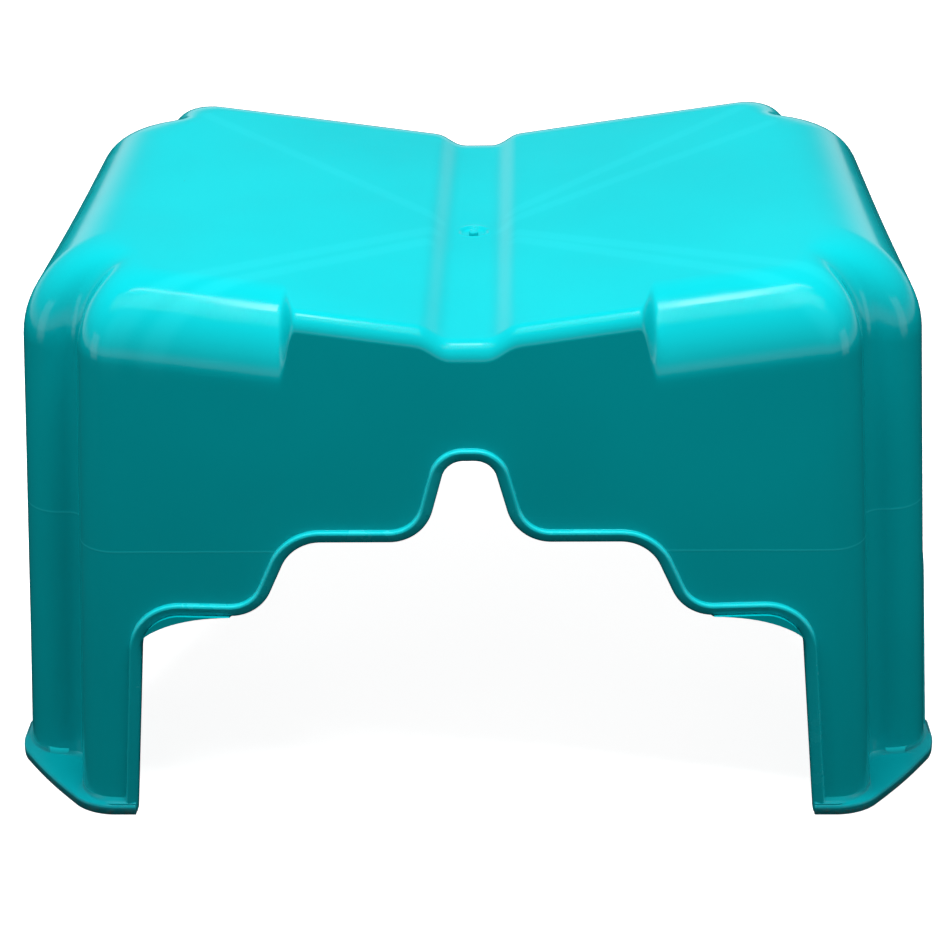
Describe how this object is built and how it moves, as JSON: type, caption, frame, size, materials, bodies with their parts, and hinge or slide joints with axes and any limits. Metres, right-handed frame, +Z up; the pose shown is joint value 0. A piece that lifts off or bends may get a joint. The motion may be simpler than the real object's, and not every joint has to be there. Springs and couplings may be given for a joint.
{
  "type": "mounting block",
  "caption": "Low one-step mounting block moulded in one piece of glossy turquoise plastic, with a V-shaped seat, a raised front tab, stepped arches and flanged feet.",
  "frame": {"origin": "on the floor, under the middle of the block", "axes": "+Z up, +X to the right along the long side, -Y towards the front with the raised tab"},
  "size_m": [0.4032, 0.3108, 0.2327],
  "materials": {
    "turquoise_plastic": "glossy moulded plastic with faint sink marks and handling scratches",
    "rim_plastic": "the same plastic on the raised hem, polished along its edge",
    "foot_plastic": "the same plastic on the foot flanges, scuffed and dull along the edge"
  },
  "bodies": {
    "root": {"tread_left": "turquoise_plastic", "tread_right": "turquoise_plastic", "centre_channel": "turquoise_plastic", "gate_stub": "turquoise_plastic", "front_fascia": "turquoise_plastic", "front_apron": "turquoise_plastic", "rear_apron": "turquoise_plastic", "left_apron": "turquoise_plastic", "right_apron": "turquoise_plastic", "leg_front_left": "turquoise_plastic", "leg_front_right": "turquoise_plastic", "leg_rear_left": "turquoise_plastic", "leg_rear_right": "turquoise_plastic", "foot_front_left": "foot_plastic", "foot_front_right": "foot_plastic", "foot_rear_left": "foot_plastic", "foot_rear_right": "foot_plastic", "arch_rim_front": "rim_plastic", "arch_rim_rear": "rim_plastic", "arch_rim_left": "rim_plastic", "arch_rim_right": "rim_plastic", "ribs_front_left": "turquoise_plastic", "ribs_front_right": "turquoise_plastic", "ribs_rear_left": "turquoise_plastic", "ribs_rear_right": "turquoise_plastic"}
  },
  "joints": []
}
